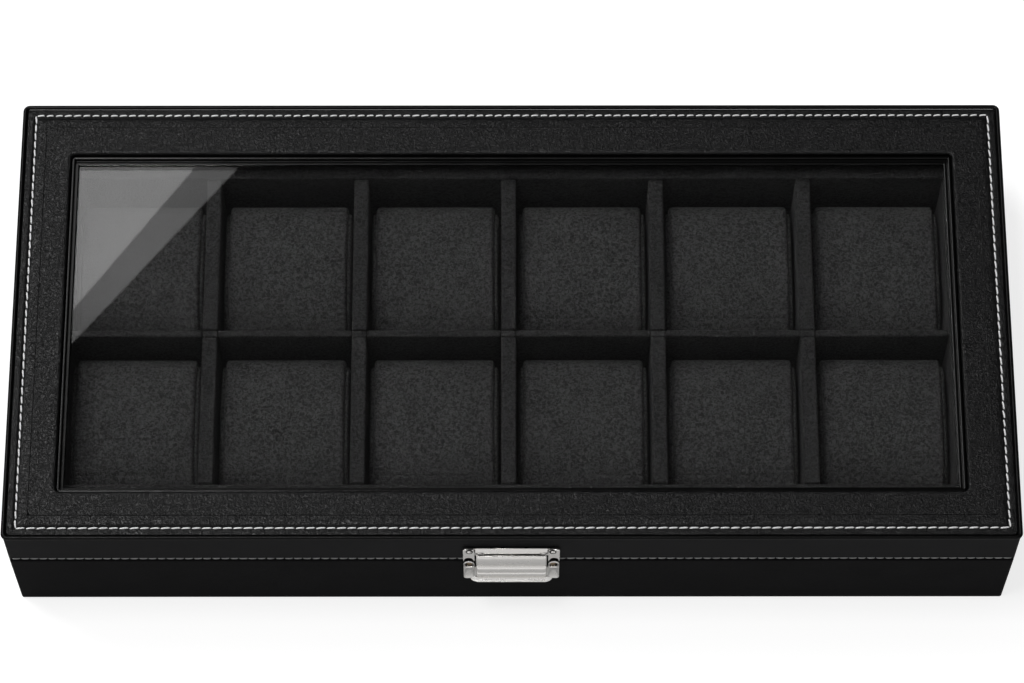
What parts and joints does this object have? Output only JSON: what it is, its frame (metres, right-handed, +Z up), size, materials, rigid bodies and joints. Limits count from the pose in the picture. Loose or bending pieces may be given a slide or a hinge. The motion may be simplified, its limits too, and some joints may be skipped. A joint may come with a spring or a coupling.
{
  "type": "watch display box",
  "caption": "Flat black leatherette watch display box with a hinged glass-topped lid, a metal flap clasp, and removable pillows in a divided suede insert.",
  "frame": {"origin": "centre of the felt's underside, on the surface that the box stands on", "axes": "+X along the long side to the right seen from the clasp side, +Y to the hinge side, +Z up"},
  "size_m": [0.38, 0.1876, 0.063],
  "materials": {
    "leatherette": "satin, fine grain",
    "bead": "satin",
    "fibreboard": "raw, covered",
    "suede_board": "fibreboard covered in black suede",
    "suede_lining": "suede",
    "pillow_suede": "suede over foam",
    "felt": "felt",
    "trim": "gloss black",
    "glass": "clear",
    "nickel": "satin nickel plate",
    "pin_steel": "plain",
    "dark_brass": "dull"
  },
  "bodies": {
    "case": {"base_felt": "felt", "base_board_bottom": "fibreboard", "base_board_front": "fibreboard", "base_board_back": "fibreboard", "base_board_left": "fibreboard", "base_board_right": "fibreboard", "base_wrap": "leatherette", "base_lining": "suede_lining", "insert_rail_front": "suede_board", "insert_rail_back": "suede_board", "insert_rail_left": "suede_board", "insert_rail_right": "suede_board", "insert_divider_long": "suede_board", "insert_divider_cross_1": "suede_board", "insert_divider_cross_2": "suede_board", "insert_divider_cross_3": "suede_board", "insert_divider_cross_4": "suede_board", "insert_divider_cross_5": "suede_board", "hinge_left_base_leaf": "nickel", "hinge_right_base_leaf": "nickel", "hinge_left_pin": "pin_steel", "hinge_right_pin": "pin_steel", "catch_plate": "nickel", "catch_screw_left": "dark_brass", "catch_screw_right": "dark_brass"},
    "lid": {"lid_board_front": "fibreboard", "lid_board_back": "fibreboard", "lid_board_left": "fibreboard", "lid_board_right": "fibreboard", "lid_board_top": "fibreboard", "lid_wrap": "leatherette", "lid_pad": "leatherette", "lid_piping": "bead", "lid_lining": "suede_lining", "lid_glass": "glass", "window_trim": "trim", "hinge_left_lid_leaf": "nickel", "hinge_right_lid_leaf": "nickel", "latch_plate": "nickel", "latch_pin": "pin_steel", "latch_screw_left": "nickel", "latch_screw_right": "nickel"},
    "latch": {"latch_flap": "nickel"},
    "pillow_front_1_body": {"pillow_front_1": "pillow_suede"},
    "pillow_front_2_body": {"pillow_front_2": "pillow_suede"},
    "pillow_front_3_body": {"pillow_front_3": "pillow_suede"},
    "pillow_front_4_body": {"pillow_front_4": "pillow_suede"},
    "pillow_front_5_body": {"pillow_front_5": "pillow_suede"},
    "pillow_front_6_body": {"pillow_front_6": "pillow_suede"},
    "pillow_back_1_body": {"pillow_back_1": "pillow_suede"},
    "pillow_back_2_body": {"pillow_back_2": "pillow_suede"},
    "pillow_back_3_body": {"pillow_back_3": "pillow_suede"},
    "pillow_back_4_body": {"pillow_back_4": "pillow_suede"},
    "pillow_back_5_body": {"pillow_back_5": "pillow_suede"},
    "pillow_back_6_body": {"pillow_back_6": "pillow_suede"}
  },
  "joints": [
    {"name": "lid_hinge", "type": "hinge", "parent": "case", "child": "lid", "pos_m": [0, 0.0914, 0.0384], "axis": [-1, 0, 0], "range_deg": [0, 100]},
    {"name": "latch_hinge", "type": "hinge", "parent": "lid", "child": "latch", "pos_m": [0, -0.0918, 0.0508], "axis": [-1, 0, 0], "range_deg": [0, 100]},
    {"name": "pillow_front_1_lift", "type": "slide", "parent": "case", "child": "pillow_front_1_body", "axis": [0, 0, -1], "range_m": [-0.012, 0]},
    {"name": "pillow_front_2_lift", "type": "slide", "parent": "case", "child": "pillow_front_2_body", "axis": [0, 0, -1], "range_m": [-0.012, 0]},
    {"name": "pillow_front_3_lift", "type": "slide", "parent": "case", "child": "pillow_front_3_body", "axis": [0, 0, -1], "range_m": [-0.012, 0]},
    {"name": "pillow_front_4_lift", "type": "slide", "parent": "case", "child": "pillow_front_4_body", "axis": [0, 0, -1], "range_m": [-0.012, 0]},
    {"name": "pillow_front_5_lift", "type": "slide", "parent": "case", "child": "pillow_front_5_body", "axis": [0, 0, -1], "range_m": [-0.012, 0]},
    {"name": "pillow_front_6_lift", "type": "slide", "parent": "case", "child": "pillow_front_6_body", "axis": [0, 0, -1], "range_m": [-0.012, 0]},
    {"name": "pillow_back_1_lift", "type": "slide", "parent": "case", "child": "pillow_back_1_body", "axis": [0, 0, -1], "range_m": [-0.012, 0]},
    {"name": "pillow_back_2_lift", "type": "slide", "parent": "case", "child": "pillow_back_2_body", "axis": [0, 0, -1], "range_m": [-0.012, 0]},
    {"name": "pillow_back_3_lift", "type": "slide", "parent": "case", "child": "pillow_back_3_body", "axis": [0, 0, -1], "range_m": [-0.012, 0]},
    {"name": "pillow_back_4_lift", "type": "slide", "parent": "case", "child": "pillow_back_4_body", "axis": [0, 0, -1], "range_m": [-0.012, 0]},
    {"name": "pillow_back_5_lift", "type": "slide", "parent": "case", "child": "pillow_back_5_body", "axis": [0, 0, -1], "range_m": [-0.012, 0]},
    {"name": "pillow_back_6_lift", "type": "slide", "parent": "case", "child": "pillow_back_6_body", "axis": [0, 0, -1], "range_m": [-0.012, 0]}
  ]
}
